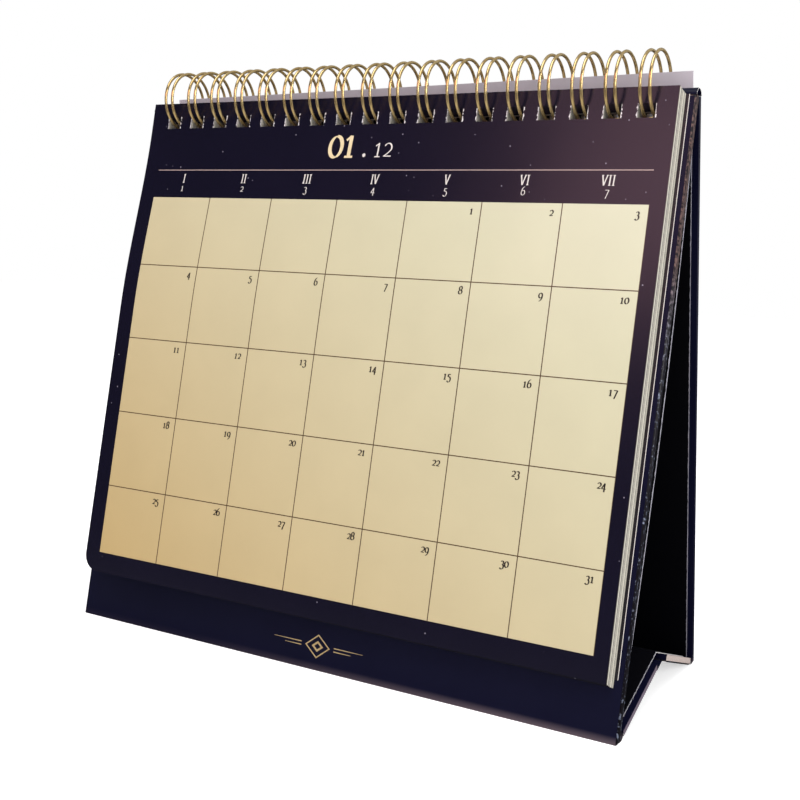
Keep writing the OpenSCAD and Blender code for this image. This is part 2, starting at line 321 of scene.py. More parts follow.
def bend(y, s, radius, start, stop, steps):
    """Points of an arc round (y, s), with its angles in degrees counted from +y to +s."""
    angles = [radians(start + (stop - start) * k / steps) for k in range(steps + 1)]
    return [(y + radius * cos(a), s + radius * sin(a)) for a in angles]


# The arc over the top fold stops 1 degree before the back panel
spine_arc = (180, 2 * lean_deg + 1, 24)
spine = paper_strip("spine_covering", bend(panel_t, board_h, panel_t, *spine_arc),
                    bend(panel_t, board_h, panel_t - wrap_t, *spine_arc), front_place)
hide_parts("spine_paper")
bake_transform(spine)

# At each foot the arc stops 0.05 mm before the base panel
pivot_s, lining_t, fold_gap, fold_steps = 2.8, 0.2, 0.05, 12
fold_r = base_setback + wrap_t
fold_start = -90 - asin(lining_t / fold_r) * 180 / pi
fold_stop = 90 - (base_deg - lean_deg) - acos((base_setback - fold_gap) / fold_r) * 180 / pi
for name, source, place_on, stand, base in (
        ("front_fold_covering", "front_fold_paper", front_place, "stand_front", "base_front"),
        ("rear_fold_covering", "rear_fold_paper", back_place, "stand_back", "base_rear")):
    fold = paper_strip(name, bend(panel_t, pivot_s, fold_r, fold_start, fold_stop, fold_steps),
                       bend(panel_t, pivot_s, fold_r - wrap_t, fold_start, fold_stop, fold_steps), place_on)
    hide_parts(source)
    ends = [bend(panel_t, pivot_s, fold_r, fold_start, fold_stop, 1)[k] for k in (0, 1)]
    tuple(place_on(0, *ends[0]))
    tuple(place_on(0, *ends[1]))
    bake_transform(fold)

# Over the ridge each panel has its own half, with a slanting end where the two meet
ridge_under, ridge_over, ridge_mid = 37.5031, 38.44, 35
half_low, half_high = ridge_under - 0.02, ridge_under + 0.05
for name, place_on, body in (("ridge_covering_front", base_place, "base_front"),
                             ("ridge_covering_rear", base_rear_place, "base_rear")):
    ridge = paper_strip(name, [(0, -half_low), (0, -ridge_mid), (0, -base_end)],
                        [(wrap_t, -half_high), (wrap_t, -ridge_mid), (wrap_t, -base_end)], place_on)
    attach(ridge, body)
    if body == "base_front":
        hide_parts("ridge_paper")


# ---- Linings ----
# Black uncoated paper pasted over the turn-ins on the inner face of each panel. It was cut after it was
# printed, so its edges are white; on the base it runs on to the ridge.
lining_side, lining_inset = 0.4, 2
lining_papers = []
# The cut edges of the back and base linings are painted greyer than the front lining's, as painted shade
# inside the tent
for name, edge_mm, cut in (("lining_black_paper_front", board_w / 2 - lining_side, "#c3c1cd"),
                           ("lining_black_paper", board_w / 2 - lining_inset, "#a3a1ad")):
    lining, tree = new_material(name)
    place = add(tree, "TexCoord")
    nap = add(tree, "TexNoise", {"Vector": place.outputs["Object"], "Scale": 1000 / 0.5, "Detail": 3})
    matt = add(tree, "MixRGB",
               {"Fac": nap.outputs["Fac"], "Color1": linear("#020207"), "Color2": linear("#07070d")})
    across = add(tree, "SeparateXYZ", {"Vector": place.outputs["Object"]})
    out = add(tree, "Math", {0: across.outputs["X"]}, operation="ABSOLUTE")
    # Chips of about 1.5 mm along the edge, 0.08 to 0.28 mm wide
    chips = add(tree, "TexNoise", {"Vector": place.outputs["Object"], "Scale": 1000 / 1.5, "Detail": 2})
    edge = add(tree, "MapRange",
               {"Value": chips.outputs["Fac"], "From Min": 0.3, "From Max": 0.7,
                "To Min": (edge_mm - 0.28) / 1000, "To Max": (edge_mm - 0.08) / 1000})
    is_cut = add(tree, "Math", {0: out.outputs["Value"], 1: edge.outputs["Result"]}, operation="GREATER_THAN")
    colour = add(tree, "MixRGB",
                 {"Fac": is_cut.outputs["Value"], "Color1": matt.outputs["Color"], "Color2": linear(cut)})
    felt = add(tree, "Bump", {"Height": nap.outputs["Fac"], "Strength": 0.15, "Distance": 0.00005})
    surface = add(tree, "BsdfPrincipled",
                  {"Base Color": colour.outputs["Color"], "Roughness": 0.55, "IOR": 1.45,
                   "Specular IOR Level": 0.12, "Normal": felt.outputs["Normal"]})
    add(tree, "OutputMaterial", {"Surface": surface.outputs["BSDF"]})
    lining_papers.append(lining)

for name, lining in zip(("front_lining", "back_lining"), lining_papers):
    nodes[name].material_slots[0].material = lining

lining_y, lining_slant = panel_t - lining_t, 0.1
lining_z = [-34, -20, -4.6]
for name, source, place_on, body in (
        ("base_front_lining_sheet", "base_front_lining", base_place, "base_front"),
        ("base_rear_lining_sheet", "base_rear_lining", base_rear_place, "base_rear")):
    sheet = paper_strip(name, [(panel_t, -ridge_over)] + [(panel_t, z) for z in lining_z],
                        [(lining_y, -ridge_over + lining_slant)] + [(lining_y, z) for z in lining_z],
                        place_on, board_w / 2 - lining_inset)
    sheet.data.materials[0] = lining_papers[1]
    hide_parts(source)
    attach(sheet, body)

# The front lining has come unstuck along its right edge and stands off the board by up to 4 mm
lift_mm, lift_from, lift_low, lift_high, loose_top, loose_gap = 4, 70, 12, 188, 178, 0.13
across, along = 8, 32
points, faces = [], []
for j in range(along + 1):
    s = lift_low + (loose_top - lift_low) * j / along
    bulge = lift_mm * sin(pi * (s - lift_low) / (lift_high - lift_low))
    for i in range(across + 1):
        points.append(front_place(lift_from + (board_w / 2 - lining_side - lift_from) * i / across,
                                  panel_t + loose_gap + bulge * (i / across) ** 2, s))
for j in range(along):
    for i in range(across):
        k = j * (across + 1) + i
        faces.append((k, k + across + 1, k + across + 2, k + 1))
loose = new_piece("front_lining_loose_edge", points, faces, (lining_papers[0],))
bm = bmesh.new()
bm.from_mesh(loose.data)
bmesh.ops.solidify(bm, geom=bm.faces[:], thickness=lining_t / 2000)
bmesh.ops.recalc_face_normals(bm, faces=bm.faces[:])
bm.to_mesh(loose.data)
bm.free()
loose.data.shade_smooth()
loose.data.set_sharp_from_angle(angle=radians(40))
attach(loose, "stand_front")
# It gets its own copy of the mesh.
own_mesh(loose)


# ---- Foil stamp on the front strip ----
# A small plain ornament in gold foil, pressed hot into the black paper below the leaves: a lozenge
# between two pairs of dashes.
gold_foil, tree = new_material("gold_foil")
place = add(tree, "TexCoord")
crush = add(tree, "TexNoise", {"Vector": place.outputs["Object"], "Scale": 1000 / 0.7, "Detail": 2})
foil = add(tree, "MixRGB",
           {"Fac": crush.outputs["Fac"], "Color1": linear("#c09a52"), "Color2": linear("#f4e4b4")})
dent = add(tree, "Bump", {"Height": crush.outputs["Fac"], "Strength": 0.3, "Distance": 0.00005})
surface = add(tree, "BsdfPrincipled",
              {"Base Color": foil.outputs["Color"], "Metallic": 0.45, "Roughness": 0.4,
               "Normal": dent.outputs["Normal"]})
add(tree, "OutputMaterial", {"Surface": surface.outputs["BSDF"]})

stamp_x, stamp_s = -0.5, 7.8
foil_lift = -0.02
lozenge = []
for radius, wall in ((3.9, 0.5), (1.8, 0.8)):
    tall, slim = radius, radius * 1.25
    lozenge += [[(slim * cos(radians(a)) * k, tall * sin(radians(a)) * k) for a, k in
                 ((at, 1), (at + 90, 1), (at + 90, 1 - wall / radius), (at, 1 - wall / radius))]
                for at in (0, 90, 180, 270)]
dash_from, dash_thick, dash_thin = 6.4, 0.17, 0.06
for side in (-1, 1):
    for s, dash_to in ((-0.55, 13), (0.55, 17.5)):
        near, far = side * dash_from, side * dash_to
        lozenge.append([(near, s - dash_thick), (far, s - dash_thin), (far, s + dash_thin),
                        (near, s + dash_thick)])
points, faces = [], []
for shape in lozenge:
    faces.append(tuple(range(len(points), len(points) + 4)))
    points += [front_place(stamp_x + x, foil_lift, stamp_s + s) for x, s in shape]
stamp = new_piece("foil_stamp", points, faces, (gold_foil,))
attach(stamp, "stand_front")


# ---- Month leaves ----
# Twelve leaves of coated paper, trimmed and punched together, that hang on the wire. Each front is
# printed nearly black with specks like a night sky and a cream panel for the days; its back is plain.
leaf_w, leaf_top, leaf_pitch, leaf_fan, month_leaves = 200, 190.3, 0.3, 0.08, 12
panel_left, panel_right, panel_top, panel_foot = -93.6, 95.2, 35.15, 165.9
columns_left, row_h, first_rule = -94.3, 27.05, 60.5
column_w = (panel_right - columns_left) / 7
rule_mm, header_t, header_half = 0.17, 24.9, 0.13
hole_t, hole_w, hole_h = 7.2, 5.5, 4.3
loops, loop_pitch, loop_shift = 18, 10.6, 0.7
front_normal = (0, -cos(lean), sin(lean))
on_leaf = {"Scale": (1000, 1000, 1000), "Rotation": (lean, 0, 0),
           "Location": (0, -stand_y * cos(lean), -stand_y * sin(lean) - leaf_top)}

# Coated paper: a smooth satin print that shines softly where it faces a lamp, on white stock.
leaf_paper, tree = new_material("coated_leaf_paper")
place = add(tree, "TexCoord")
page = add(tree, "Mapping", {"Vector": place.outputs["Object"], **on_leaf})
axes = add(tree, "SeparateXYZ", {"Vector": page.outputs["Vector"]})
cloud = add(tree, "TexNoise", {"Vector": page.outputs["Vector"], "Scale": 1 / 45, "Detail": 4})
night = add(tree, "MixRGB",
            {"Fac": cloud.outputs["Fac"], "Color1": linear("#0a091c"), "Color2": linear("#120f24")})
# Specks of 0.3 to 0.5 mm, in cells of 4.5 mm
specks = add(tree, "TexVoronoi", {"Vector": page.outputs["Vector"], "Scale": 1 / 4.5, "Randomness": 1})
speck = add(tree, "MapRange",
            {"Value": specks.outputs["Distance"], "From Min": 0.03, "From Max": 0.06, "To Min": 0.4,
             "To Max": 0})
sky = add(tree, "MixRGB",
          {"Fac": speck.outputs["Result"], "Color1": night.outputs["Color"], "Color2": linear("#d9d4e6")})
in_x = add(tree, "Math",
           {0: axes.outputs["X"], 1: (panel_left + panel_right) / 2,
            2: (panel_right - panel_left) / 2}, operation="COMPARE")
in_t = add(tree, "Math",
           {0: axes.outputs["Z"], 1: -(panel_top + panel_foot) / 2,
            2: (panel_foot - panel_top) / 2}, operation="COMPARE")
in_panel = add(tree, "Math", {0: in_x.outputs[0], 1: in_t.outputs[0]}, operation="MULTIPLY")
from_left = add(tree, "Math", {0: axes.outputs["X"], 1: -columns_left}, operation="ADD")
to_column = add(tree, "Math", {0: from_left.outputs[0], 1: column_w / 2}, operation="PINGPONG")
from_rule = add(tree, "Math", {0: axes.outputs["Z"], 1: first_rule}, operation="ADD")
to_row = add(tree, "Math", {0: from_rule.outputs[0], 1: row_h / 2}, operation="PINGPONG")
to_rule = add(tree, "Math", {0: to_column.outputs[0], 1: to_row.outputs[0]}, operation="MINIMUM")
on_rule = add(tree, "Math", {0: to_rule.outputs[0], 1: rule_mm}, operation="LESS_THAN")
# The panel pales from its lower left corner to its upper right one
along = add(tree, "MapRange", {"Value": axes.outputs["X"], "From Min": panel_left, "From Max": panel_right})
upward = add(tree, "MapRange", {"Value": axes.outputs["Z"], "From Min": -panel_foot, "From Max": -panel_top})
pale = add(tree, "Math", {0: along.outputs["Result"], 1: upward.outputs["Result"]}, operation="ADD")
half_pale = add(tree, "Math", {0: pale.outputs[0], 1: 0.5}, operation="MULTIPLY")
parchment = add(tree, "MixRGB",
                {"Fac": half_pale.outputs[0], "Color1": linear("#bfa774"), "Color2": linear("#d1d3b7")})
mottle = add(tree, "TexNoise", {"Vector": page.outputs["Vector"], "Scale": 1 / 18, "Detail": 5})
aged = add(tree, "MapRange", {"Value": mottle.outputs["Fac"], "To Min": 0.95, "To Max": 1.05})
cream = add(tree, "VectorMath", {0: parchment.outputs["Color"], "Scale": aged.outputs["Result"]},
            operation="SCALE")
ruled = add(tree, "MixRGB",
            {"Fac": on_rule.outputs[0], "Color1": cream.outputs["Vector"], "Color2": linear("#54412f")})
in_header = add(tree, "Math", {0: axes.outputs["Z"], 1: -header_t, 2: header_half}, operation="COMPARE")
header = add(tree, "Math", {0: in_header.outputs[0], 1: in_x.outputs[0]}, operation="MULTIPLY")
titled = add(tree, "MixRGB",
             {"Fac": header.outputs[0], "Color1": sky.outputs["Color"], "Color2": linear("#b8a49c")})
printed = add(tree, "MixRGB",
              {"Fac": in_panel.outputs[0], "Color1": titled.outputs["Color"],
               "Color2": ruled.outputs["Color"]})
facing = add(tree, "VectorMath", {0: place.outputs["Normal"], 1: front_normal}, operation="DOT_PRODUCT")
is_front = add(tree, "Math", {0: facing.outputs["Value"], 1: 0.5}, operation="GREATER_THAN")
# The cut edges are white with fine grey lines of painted shade between the sheets, the backs plain white. The
# upper and lower walls of the holes are painted dark, as painted shade.
sheet_gap_shade = add(tree, "TexNoise", {"W": axes.outputs["Y"], "Scale": 1 / 0.45, "Detail": 0}, noise_dimensions="1D")
sheets = add(tree, "MapRange", {"Value": sheet_gap_shade.outputs["Fac"], "From Min": 0.47, "From Max": 0.5})
is_back = add(tree, "Math", {0: facing.outputs["Value"], 1: -0.5}, operation="LESS_THAN")
plain = add(tree, "Math", {0: sheets.outputs["Result"], 1: is_back.outputs[0]}, operation="MAXIMUM")
white = add(tree, "MixRGB",
            {"Fac": plain.outputs[0], "Color1": linear("#55514c"), "Color2": linear("#d6d3c6")})
way = add(tree, "SeparateXYZ", {"Vector": place.outputs["Normal"]})
level = add(tree, "Math", {0: way.outputs["Z"]}, operation="ABSOLUTE")
is_level = add(tree, "Math", {0: level.outputs[0], 1: 0.5}, operation="GREATER_THAN")
in_row = add(tree, "Math", {0: axes.outputs["Z"], 1: -hole_t - 0.6, 2: hole_h / 2 + 1}, operation="COMPARE")
is_shaded_wall = add(tree, "Math", {0: is_level.outputs[0], 1: in_row.outputs[0]}, operation="MULTIPLY")
stock = add(tree, "MixRGB",
            {"Fac": is_shaded_wall.outputs[0], "Color1": white.outputs["Color"], "Color2": linear("#1a1620")})
# Ragged white fringes, up to 0.45 mm wide, at both sides of each hole
from_loop = add(tree, "Math", {0: axes.outputs["X"], 1: -loop_shift - loop_pitch / 2}, operation="ADD")
off_loop = add(tree, "Math", {0: from_loop.outputs[0], 1: loop_pitch / 2}, operation="PINGPONG")
tears = add(tree, "TexNoise", {"Vector": page.outputs["Vector"], "Scale": 1 / 0.6, "Detail": 3})
torn = add(tree, "MapRange",
           {"Value": tears.outputs["Fac"], "From Min": 0.4, "From Max": 0.65, "To Max": 0.45})
is_torn = add(tree, "Math", {0: off_loop.outputs[0], 1: hole_w / 2, 2: torn.outputs["Result"]},
              operation="COMPARE")
by_hole = add(tree, "Math", {0: axes.outputs["Z"], 1: -hole_t, 2: hole_h / 2}, operation="COMPARE")
in_loops = add(tree, "Math", {0: axes.outputs["X"], 1: loop_shift, 2: loops * loop_pitch / 2},
               operation="COMPARE")
at_hole = add(tree, "Math", {0: by_hole.outputs[0], 1: in_loops.outputs[0]}, operation="MULTIPLY")
fringe = add(tree, "Math", {0: is_torn.outputs[0], 1: at_hole.outputs[0]}, operation="MULTIPLY")
punched = add(tree, "MixRGB",
              {"Fac": fringe.outputs[0], "Color1": printed.outputs["Color"], "Color2": linear("#e9e6e6")})
# Each leaf is trimmed further right than the one in front of it, and the last 0.09 mm of its print is
# worn off
trim = add(tree, "Math",
           {0: axes.outputs["Y"], 1: leaf_fan / leaf_pitch,
            2: leaf_w / 2 + (month_leaves + 1) * leaf_fan - 0.09}, operation="MULTIPLY_ADD")
is_worn = add(tree, "Math", {0: axes.outputs["X"], 1: trim.outputs[0]}, operation="GREATER_THAN")
front = add(tree, "MixRGB",
            {"Fac": is_worn.outputs[0], "Color1": punched.outputs["Color"], "Color2": white.outputs["Color"]})
colour = add(tree, "MixRGB",
             {"Fac": is_front.outputs[0], "Color1": stock.outputs["Color"], "Color2": front.outputs["Color"]})
satin = add(tree, "MapRange", {"Value": is_front.outputs[0], "To Min": 0.75, "To Max": 0.24})
wave = add(tree, "TexNoise", {"Vector": page.outputs["Vector"], "Scale": 1 / 60, "Detail": 2})
cockle = add(tree, "Bump", {"Height": wave.outputs["Fac"], "Strength": 0.12, "Distance": 0.002})
surface = add(tree, "BsdfPrincipled",
              {"Base Color": colour.outputs["Color"], "Roughness": satin.outputs["Result"], "IOR": 1.5,
               "Specular IOR Level": 0.42, "Normal": cockle.outputs["Normal"]})
add(tree, "OutputMaterial", {"Surface": surface.outputs["BSDF"]})

month_names = [f"leaf_{k:02d}" for k in range(1, month_leaves + 1)]
for name in month_names:
    nodes[name].material_slots[0].material = leaf_paper

# The front leaf has warped with use: below its holes its left edge comes forward by 3.5 mm. Its lower left
# corner is worn round, at a radius of 6 mm.
warp_mm, warp_start, warp_stop, warp_step, worn_r, worn_steps = 3.5, 10, 76, 3, 6, 5
up_leaf = Vector((0, sin(lean), cos(lean)))


def warp(x, t):
    """How far the front leaf stands off the others, at x along it and t down from its top."""
    down = min(max((t - warp_start) / (warp_stop - warp_start), 0), 1)
    return warp_mm * (leaf_w / 2 - x) / leaf_w * down * down * (3 - 2 * down)


def on_page(point):
    """The x and t of a point in metres."""
    return point.x * 1000, leaf_top - (point - front_place(0, 0, 0)).dot(up_leaf) * 1000


bm = bmesh.new()
bm.from_mesh(nodes["leaf_01"].data)
corner_x = min(on_page(v.co)[0] for v in bm.verts) + worn_r
corner_t = max(on_page(v.co)[1] for v in bm.verts) - worn_r
worn_at = [worn_r * k / worn_steps for k in range(worn_steps)]
cuts = [(0, t, up_leaf) for t in range(warp_start, warp_stop + 1, warp_step)]
cuts += [(0, corner_t + d, up_leaf) for d in worn_at]
cuts += [(corner_x - d, 0, Vector((1, 0, 0))) for d in worn_at]
for x, t, way in cuts:
    bmesh.ops.bisect_plane(bm, geom=bm.verts[:] + bm.edges[:] + bm.faces[:], plane_no=way,
                           plane_co=front_place(x, 0, leaf_top - t))
for v in bm.verts:
    x, t = on_page(v.co)
    out, down = corner_x - x, t - corner_t
    inward = 1 - max(out, down) / hypot(out, down) if min(out, down) > 0 else 0
    x, t = x + out * inward, t - down * inward
    v.co += Vector((out * inward, 0, 0)) / 1000 + up_leaf * down * inward / 1000
    v.co += Vector(front_normal) * warp(x, t) / 1000
mesh = bpy.data.meshes.new("front_leaf")
bm.to_mesh(mesh)
bm.free()
mesh.materials.clear()
mesh.materials.append(leaf_paper)
mesh.shade_smooth()
mesh.set_sharp_from_angle(angle=radians(40))
front_leaf = bpy.data.objects.new("front_leaf", mesh)
scene.collection.objects.link(front_leaf)
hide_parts("leaf_01")
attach(front_leaf, "leaf_01")


# ---- Printed figures of the month leaves ----
# Day numbers in dark brown ink at the top right of each day, with the month's number and the columns'
# numbers above them in gold and cream. All are old-style italic figures, drawn as with a broad pen.
def bow(x, y, wide, tall, start, stop, steps=14):
    angles = [radians(start + (stop - start) * k / steps) for k in range(steps + 1)]
    return [(x + wide * cos(a), y + tall * sin(a)) for a in angles]


figures = {
    "0": [bow(0.36, 0.5, 0.33, 0.5, 90, 450, 24)],
    "1": [[(0.1, 0.8), (0.34, 1)], [(0.34, 1.02), (0.34, 0)], [(0.12, 0.02), (0.56, 0.02)]],
    "2": [bow(0.34, 0.66, 0.3, 0.34, 155, -25) + [(0.34, 0.24), (0.05, 0.05)], [(0.04, 0.06), (0.68, 0.06)]],
    "3": [bow(0.32, 0.7, 0.26, 0.3, 150, -80), bow(0.3, 0.02, 0.34, 0.42, 85, -150)],
    "4": [[(0.5, 1), (0.02, 0.1)], [(0.02, 0.08), (0.76, 0.08)], [(0.5, 1), (0.5, -0.45)]],
    "5": [[(0.62, 0.98), (0.2, 0.98)], [(0.2, 1), (0.14, 0.5)], bow(0.32, 0.06, 0.34, 0.48, 110, -150)],
    "6": [bow(0.66, 0.55, 0.6, 0.9, 100, 180), bow(0.36, 0.4, 0.32, 0.42, 90, 450, 24)],
    "7": [[(0.04, 0.96), (0.7, 0.96)], [(0.69, 0.98), (0.26, -0.45)]],
    "8": [bow(0.36, 1.02, 0.26, 0.36, 90, 450, 24), bow(0.36, 0.34, 0.33, 0.36, 90, 450, 24)],
    "9": [bow(0.36, 0.56, 0.32, 0.42, 90, 450, 24), bow(0.06, 0.4, 0.62, 0.88, 0, -80)],
    "/": [[(0.05, -0.3), (0.5, 1.2)]],
    ".": [[(0.1, 0.02), (0.18, 0.16)], [(0.18, 0.02), (0.1, 0.16)]],
    "I": [[(0.3, 1.5), (0.3, 0)], [(0.12, 0.03), (0.48, 0.03)], [(0.12, 1.47), (0.48, 1.47)]],
    "V": [[(0.1, 1.5), (0.46, 0)], [(0.46, 0), (0.84, 1.5)], [(0, 1.47), (0.3, 1.47)],
          [(0.7, 1.47), (1, 1.47)]],
}
advance = {"/": 0.55, ".": 0.45, "I": 0.58, "V": 1.0}
figure_w, slant, pen_angle = 0.8, 0.06, radians(20)


def pen_stroke(line, thin, thick):
    """Quads along a line, as wide as a broad pen held at its angle makes them."""
    rims = []
    for k, (x, y) in enumerate(line):
        a, b = line[max(k - 1, 0)], line[min(k + 1, len(line) - 1)]
        way = atan2(b[1] - a[1], b[0] - a[0])
        half = thin + (thick - thin) * abs(sin(way - pen_angle))
        rims.append(((x - sin(way) * half, y + cos(way) * half), (x + sin(way) * half, y - cos(way) * half)))
    return [(p[0], p[1], q[1], q[0]) for p, q in zip(rims, rims[1:])]


def figures_wide(text):
    return sum(advance.get(c, figure_w) for c in text)


def write(text, x, t, size, align, thin=0.045, thick=0.14):
    """Quads of a line of figures, as (x, t) points on the leaf: t runs down from the leaf's top."""
    at = x - align * figures_wide(text) * size
    quads = []
    for c in text:
        for line in figures[c]:
            for quad in pen_stroke(line, thin, thick):
                quads.append([(at + (gx + slant * gy) * size, t - gy * size) for gx, gy in quad])
        at += advance.get(c, figure_w) * size
    return quads


# Offset ink: a thin even film with a satin face, denser and thinner by turns over about 3 mm.
inks = []
for name, low, high in (("brown_ink", "#17100c", "#2c2019"), ("gold_ink", "#d8c598", "#efdfb6"),
                        ("cream_ink", "#d2cdc6", "#e8e4dd")):
    ink, tree = new_material(name)
    place = add(tree, "TexCoord")
    film = add(tree, "TexNoise", {"Vector": place.outputs["Object"], "Scale": 1000 / 3, "Detail": 3})
    tint = add(tree, "MixRGB", {"Fac": film.outputs["Fac"], "Color1": linear(low), "Color2": linear(high)})
    surface = add(tree, "BsdfPrincipled",
                  {"Base Color": tint.outputs["Color"], "Roughness": 0.45, "IOR": 1.5})
    add(tree, "OutputMaterial", {"Surface": surface.outputs["BSDF"]})
    inks.append(ink)

days_in = [31, 28, 31, 30, 31, 30, 31, 31, 30, 31, 30, 31]
columns = ["I", "II", "III", "IV", "V", "VI", "VII"]
row_tops = [panel_top] + [first_rule + k * row_h for k in range(4)]
day_size, day_in, day_drop = 1.75, 2.5, 3.9
month_x, dot_x, total_x, title_t, month_size, total_size = -8, -6.2, -1.5, 20.5, 7.2, 4.6
numeral_t, numeral_size, number_t, number_size = 29.6, 2.1, 32.7, 1.8
ink_lift = 0.012
first_column = 4
for k, name in enumerate(month_names):
    cells = {}
    for day in range(1, days_in[k] + 1):
        row, column = divmod(first_column + day - 1, 7)
        if row > 4:
            cells[4, column] = f"{day - 7}/{day}"
        else:
            cells[row, column] = str(day)
    first_column = (first_column + days_in[k]) % 7
    brown, gold, pale = [], [], []
    for (row, column), text in cells.items():
        day_x = columns_left + (column + 1) * column_w - day_in
        brown += write(text, day_x, row_tops[row] + day_drop, day_size, 1)
    gold += write(f"{k + 1:02d}", month_x, title_t, month_size, 1, 0.03, 0.1)
    pale += write(".", dot_x, title_t, month_size, 0, 0.05, 0.06)
    pale += write("12", total_x, title_t, total_size, 0, 0.025, 0.06)
    for column, text in enumerate(columns):
        middle = columns_left + (column + 0.5) * column_w
        pale += write(text, middle, numeral_t, numeral_size, 0.5, 0.03, 0.1)
        pale += write(str(column + 1), middle, number_t, number_size, 0.5, 0.03, 0.08)
    face_y = -(month_leaves + 2 - (k + 1)) * leaf_pitch - ink_lift
    points, faces, kinds = [], [], []
    for kind, quads in enumerate((brown, gold, pale)):
        for quad in quads:
            faces.append(tuple(range(len(points), len(points) + 4)))
            for x, t in quad:
                points.append(front_place(x, face_y - (warp(x, t) if k == 0 else 0), leaf_top - t))
            kinds.append(kind)
    print_sheet = new_piece(f"print_{k + 1:02d}", points, faces, inks, kinds)
    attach(print_sheet, name)


# ---- Backing leaf ----
# The last sheet behind the months, a little wider than they are, so that its edge shows beside theirs. It is
# the same stock, printed black in front.
backing_w = 204
backing_paper, tree = new_material("coated_backing_paper")
place = add(tree, "TexCoord")
tone = add(tree, "TexNoise", {"Vector": place.outputs["Object"], "Scale": 1000 / 20, "Detail": 3})
black = add(tree, "MixRGB",
            {"Fac": tone.outputs["Fac"], "Color1": linear("#08070d"), "Color2": linear("#14101a")})
facing = add(tree, "VectorMath", {0: place.outputs["Normal"], 1: front_normal}, operation="DOT_PRODUCT")
is_front = add(tree, "Math", {0: facing.outputs["Value"], 1: 0.5}, operation="GREATER_THAN")
# Its cut edges are bruised white for 0.12 mm
across = add(tree, "SeparateXYZ", {"Vector": place.outputs["Object"]})
out = add(tree, "Math", {0: across.outputs["X"]}, operation="ABSOLUTE")
inside = add(tree, "Math", {0: out.outputs["Value"], 1: (backing_w / 2 - 0.12) / 1000}, operation="LESS_THAN")
is_black = add(tree, "Math", {0: is_front.outputs[0], 1: inside.outputs[0]}, operation="MULTIPLY")
colour = add(tree, "MixRGB",
             {"Fac": is_black.outputs[0], "Color1": linear("#e9e5df"), "Color2": black.outputs["Color"]})
surface = add(tree, "BsdfPrincipled", {"Base Color": colour.outputs["Color"], "Roughness": 0.4, "IOR": 1.5})
add(tree, "OutputMaterial", {"Surface": surface.outputs["BSDF"]})
nodes["backing_leaf"].material_slots[0].material = backing_paper


# ---- Cover leaf ----
# The first leaf of the pad, turned right over so that it hangs behind the stand. It is a stiffer sheet,
# coloured a pale lilac-grey.
cover_paper, tree = new_material("lilac_grey_cover_leaf")
place = add(tree, "TexCoord")
tone = add(tree, "TexNoise", {"Vector": place.outputs["Object"], "Scale": 1000 / 12, "Detail": 4})
lilac = add(tree, "MixRGB",
            {"Fac": tone.outputs["Fac"], "Color1": linear("#c6c1ca"), "Color2": linear("#d2ced7")})
surface = add(tree, "BsdfPrincipled", {"Base Color": lilac.outputs["Color"], "Roughness": 0.45, "IOR": 1.5})
add(tree, "OutputMaterial", {"Surface": surface.outputs["BSDF"]})
nodes["cover_leaf"].material_slots[0].material = cover_paper


# ---- Binding wire ----
# One unbroken steel wire, 1 mm thick, bent into pairs of loops that pass through the leaves and boards
# and close behind the back panel. It is coated in pale gold.
wire_r, ring_r, ring_y, ring_s = 0.5, 10.2, 1.5, 192.4
half_pair, bend_r, bend_step = 1.5, 1, 15
link_a, tip_a = 40.988, 28.1469
deg_mm = 180 / (pi * ring_r)
arc_a, arc_b = link_a + bend_r * deg_mm, 360 + tip_a - half_pair * deg_mm
arc_steps, wire_sides = 56, 10

# Gold-coated steel: a smooth bright metal, slightly paler and duller in places about 8 mm long.
gold_wire, tree = new_material("gold_coated_steel_wire")
place = add(tree, "TexCoord")
coat = add(tree, "TexNoise", {"Vector": place.outputs["Object"], "Scale": 1000 / 8, "Detail": 2})
gilt = add(tree, "MixRGB",
           {"Fac": coat.outputs["Fac"], "Color1": linear("#cfac6c"), "Color2": linear("#ead39c")})
dull = add(tree, "MapRange", {"Value": coat.outputs["Fac"], "To Min": 0.13, "To Max": 0.2})
surface = add(tree, "BsdfPrincipled",
              {"Base Color": gilt.outputs["Color"], "Metallic": 0.8, "Roughness": dull.outputs["Result"]})
add(tree, "OutputMaterial", {"Surface": surface.outputs["BSDF"]})

line = []
for i in range(loops):
    x0 = (i - (loops - 1) / 2) * loop_pitch + loop_shift
    root = [(half_pair + bend_r * (1 - sin(radians(b))), link_a + bend_r * (1 - cos(radians(b))) * deg_mm)
            for b in range(0, 90, bend_step)]
    arc = [arc_a + (arc_b - arc_a) * k / arc_steps for k in range(arc_steps + 1)]
    if i > 0:
        line += [(x0 - x, a) for x, a in root]
    line += [(x0 - half_pair, a) for a in arc]
    line += [(x0 - half_pair * cos(radians(b)), arc_b + half_pair * sin(radians(b)) * deg_mm)
             for b in range(bend_step, 180, bend_step)]
    line += [(x0 + half_pair, a) for a in reversed(arc)]
    if i < loops - 1:
        line += [(x0 + x, a) for x, a in reversed(root)]
outward = [Vector((0, sin(radians(a)), -cos(radians(a)))) for x, a in line]
middle = [Vector((x, ring_y, ring_s)) + ring_r * n for (x, a), n in zip(line, outward)]
points, faces = [], []
last = len(middle) - 1
for k, (centre, normal) in enumerate(zip(middle, outward)):
    way = (middle[min(k + 1, last)] - middle[max(k - 1, 0)]).normalized()
    side = way.cross(normal).normalized()
    for j in range(wire_sides):
        a = 2 * pi * j / wire_sides
        points.append(front_place(*(centre + wire_r * (cos(a) * normal + sin(a) * side))))
for k in range(last):
    for j in range(wire_sides):
        a, b = k * wire_sides + j, k * wire_sides + (j + 1) % wire_sides
        faces.append((a, b, b + wire_sides, a + wire_sides))
faces.append(tuple(range(wire_sides))[::-1])
faces.append(tuple(range(last * wire_sides, (last + 1) * wire_sides)))
wire = new_piece("gold_wire_loops", points, faces, (gold_wire,))
